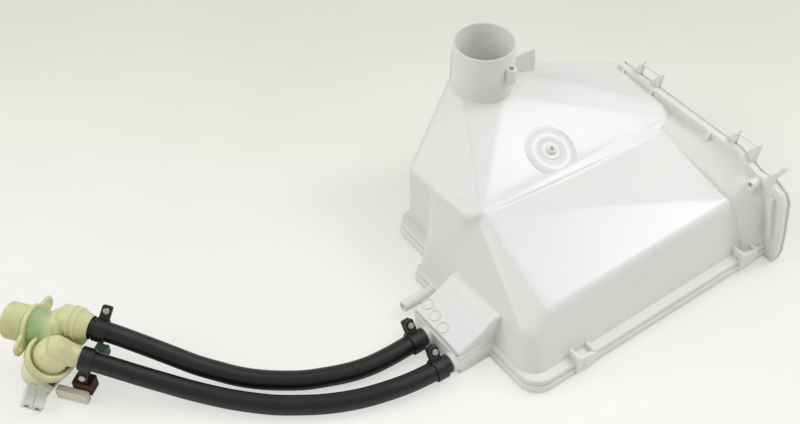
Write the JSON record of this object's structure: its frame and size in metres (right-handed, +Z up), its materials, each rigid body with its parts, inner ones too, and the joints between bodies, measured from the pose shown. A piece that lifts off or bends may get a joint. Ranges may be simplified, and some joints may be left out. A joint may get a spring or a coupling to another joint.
{
  "type": "detergent dispenser housing with hoses and inlet valve",
  "caption": "Washer detergent dispenser housing, lid down and outlet pipe up, with black water hoses clamped to a solenoid inlet valve.",
  "frame": {"origin": "on the lid's outer face, on its centre line, level with the outlet pipe's axis", "axes": "+Z up through the outlet pipe, which is down in use, because the housing is stored lying on its lid; +Y out of the drawer's opening; +X towards the long side away from the outlet pipe"},
  "size_m": [0.262, 0.5306, 0.14],
  "materials": {
    "hopper": "satin white polypropylene",
    "lid": "satin white polypropylene",
    "hose": "matt black rubber",
    "clamp": "black",
    "valve": "translucent yellowish nylon",
    "strainer": "natural",
    "regulator": "green",
    "steel": "zinc plated",
    "coil": "beige",
    "terminal": "white",
    "connector_red": "dark red",
    "connector_green": "dark green"
  },
  "bodies": {
    "housing": {"hopper": "hopper", "lid": "lid", "shower_plate": "lid", "hose_1": "hose", "hose_2": "hose", "clamp_1_box": "clamp", "clamp_2_box": "clamp", "clamp_1_valve": "clamp", "clamp_2_valve": "clamp", "valve_body": "valve", "inlet_strainer": "strainer", "flow_regulator": "regulator", "diaphragm_1": "hose", "diaphragm_2": "hose", "guide_tube_1": "steel", "guide_tube_2": "steel", "plunger_spring_1": "steel", "plunger_spring_2": "steel", "coil_1": "coil", "coil_2": "coil", "yoke_1": "steel", "yoke_2": "steel", "terminals_1": "terminal", "terminals_2": "terminal", "connector_base_1": "terminal", "connector_base_2": "terminal", "connector_red": "connector_red", "connector_green": "connector_green"},
    "plunger_one": {"plunger_1": "steel"},
    "plunger_two": {"plunger_2": "steel"}
  },
  "joints": [
    {"name": "plunger_one_slide", "type": "slide", "parent": "housing", "child": "plunger_one", "axis": [-0.4292, -0.3353, -0.8387], "range_m": [0, 0.003], "stiffness_N_per_m": 200, "springref_m": -0.003, "deforming": ["plunger_spring_1"]},
    {"name": "plunger_two_slide", "type": "slide", "parent": "housing", "child": "plunger_two", "axis": [-0.4292, -0.3353, -0.8387], "range_m": [0, 0.003], "stiffness_N_per_m": 200, "springref_m": -0.003, "deforming": ["plunger_spring_2"]}
  ]
}
